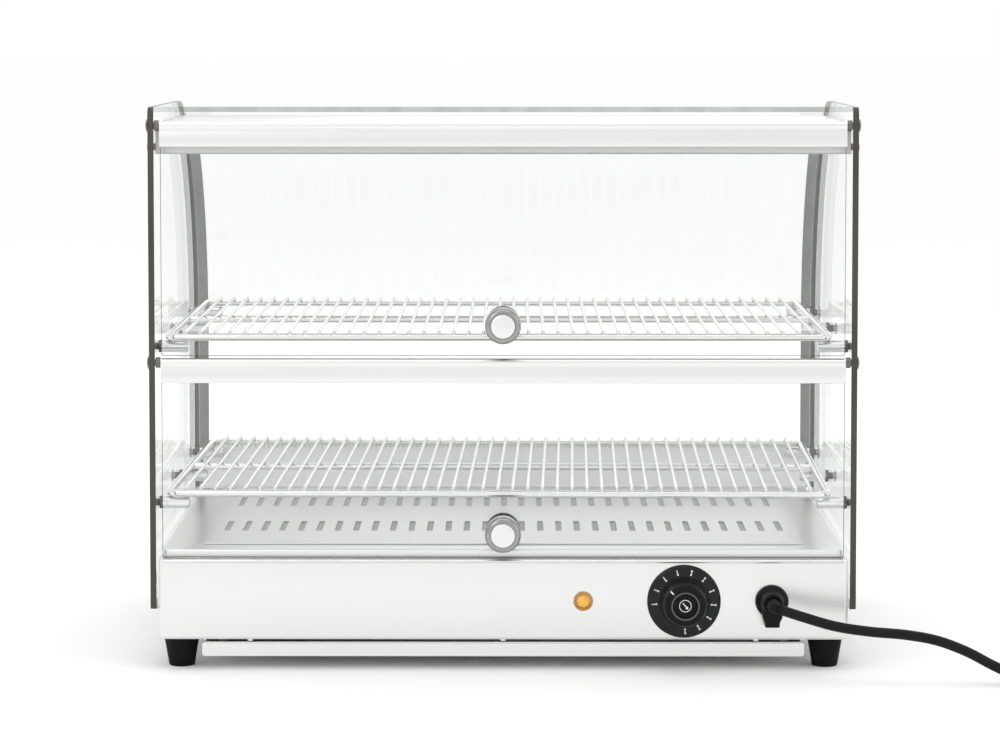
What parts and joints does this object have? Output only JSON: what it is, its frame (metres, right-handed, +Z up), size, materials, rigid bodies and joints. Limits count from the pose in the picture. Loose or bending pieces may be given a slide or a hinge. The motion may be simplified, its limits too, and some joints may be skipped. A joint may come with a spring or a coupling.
{
  "type": "hot food display case",
  "caption": "Countertop heated food display with glass sides, curved customer glass, two hinged glass doors, wire racks and a stainless base with thermostat.",
  "frame": {"origin": "on the surface that the feet stand on, under the middle of the case", "axes": "+X to the operator's right, +Y towards the customer, +Z up"},
  "size_m": [0.8188, 0.4349, 0.443],
  "materials": {
    "brushed_stainless": "brushed stainless sheet",
    "bright_wire": "bright plated round wire",
    "knob_metal": "plated ring with a pale satin face disc",
    "plated_metal": "dull plated metal",
    "dark_bolt": "dark coated bolt",
    "clear_glass": "clear tempered glass with green-grey polished edges",
    "grey_trim": "mid-grey satin plastic",
    "black_plastic": "satin black moulded plastic",
    "black_rubber": "matte black rubber",
    "lead_sheath": "black flexible cable sheath",
    "amber_lens": "translucent amber lens"
  },
  "bodies": {
    "case": {"base_shell": "brushed_stainless", "bottom_plate": "brushed_stainless", "deck_pan": "brushed_stainless", "slotted_deck_plate": "brushed_stainless", "rear_apron": "brushed_stainless", "tray_rail_left": "brushed_stainless", "tray_rail_right": "brushed_stainless", "roof_panel": "brushed_stainless", "roof_channel": "brushed_stainless", "foot_front_left": "black_rubber", "foot_front_right": "black_rubber", "foot_rear_left": "black_rubber", "foot_rear_right": "black_rubber", "side_glass_left": "clear_glass", "side_glass_right": "clear_glass", "curved_glass": "clear_glass", "corner_trim_left": "grey_trim", "corner_trim_right": "grey_trim", "upper_pivot_bolt_left": "dark_bolt", "upper_pivot_bolt_right": "dark_bolt", "lower_pivot_bolt_left": "dark_bolt", "lower_pivot_bolt_right": "dark_bolt", "roof_channel_bolt_left": "dark_bolt", "roof_channel_bolt_right": "dark_bolt", "upper_stud_front_left": "bright_wire", "upper_stud_front_right": "bright_wire", "upper_stud_middle_left": "bright_wire", "upper_stud_middle_right": "bright_wire", "upper_stud_rear_left": "bright_wire", "upper_stud_rear_right": "bright_wire", "lower_stud_front_left": "bright_wire", "lower_stud_front_right": "bright_wire", "lower_stud_middle_left": "bright_wire", "lower_stud_middle_right": "bright_wire", "lower_stud_rear_left": "bright_wire", "lower_stud_rear_right": "bright_wire", "dial_bezel": "black_plastic", "lamp_body": "black_plastic", "cable_gland": "black_plastic", "gland_nut": "black_plastic", "terminal_block": "black_plastic", "mains_plug": "black_plastic", "lamp_lens": "amber_lens", "thermostat_body": "plated_metal", "heating_element": "plated_metal", "power_lead": "lead_sheath", "lead_coil": "lead_sheath"},
    "upper_door": {"upper_door_bar": "brushed_stainless", "upper_door_glass": "clear_glass", "upper_door_knob": "knob_metal", "upper_knob_plate": "grey_trim"},
    "lower_door": {"lower_door_bar": "brushed_stainless", "lower_door_glass": "clear_glass", "lower_door_knob": "knob_metal", "lower_knob_plate": "grey_trim"},
    "thermostat": {"dial_knob": "black_plastic", "thermostat_shaft": "plated_metal"},
    "tray": {"crumb_tray": "brushed_stainless"},
    "rack_upper": {"upper_rack": "bright_wire"},
    "rack_lower": {"lower_rack": "bright_wire"}
  },
  "joints": [
    {"name": "upper_door_hinge", "type": "hinge", "parent": "case", "child": "upper_door", "pos_m": [0, -0.1675, 0.4285], "axis": [-1, 0, 0], "range_deg": [0, 90]},
    {"name": "lower_door_hinge", "type": "hinge", "parent": "case", "child": "lower_door", "pos_m": [0, -0.1675, 0.243], "axis": [-1, 0, 0], "range_deg": [0, 90]},
    {"name": "thermostat_turn", "type": "hinge", "parent": "case", "child": "thermostat", "pos_m": [0.142, -0.1725, 0.0555], "axis": [0, 1, 0], "range_deg": [-51, 222]},
    {"name": "crumb_tray_slide", "type": "slide", "parent": "case", "child": "tray", "axis": [0, -1, 0], "range_m": [0, 0.25]},
    {"name": "upper_rack_lift", "type": "slide", "parent": "case", "child": "rack_upper", "axis": [0, 0, 1], "range_m": [0, 0.025]},
    {"name": "lower_rack_lift", "type": "slide", "parent": "case", "child": "rack_lower", "axis": [0, 0, 1], "range_m": [0, 0.025]}
  ]
}
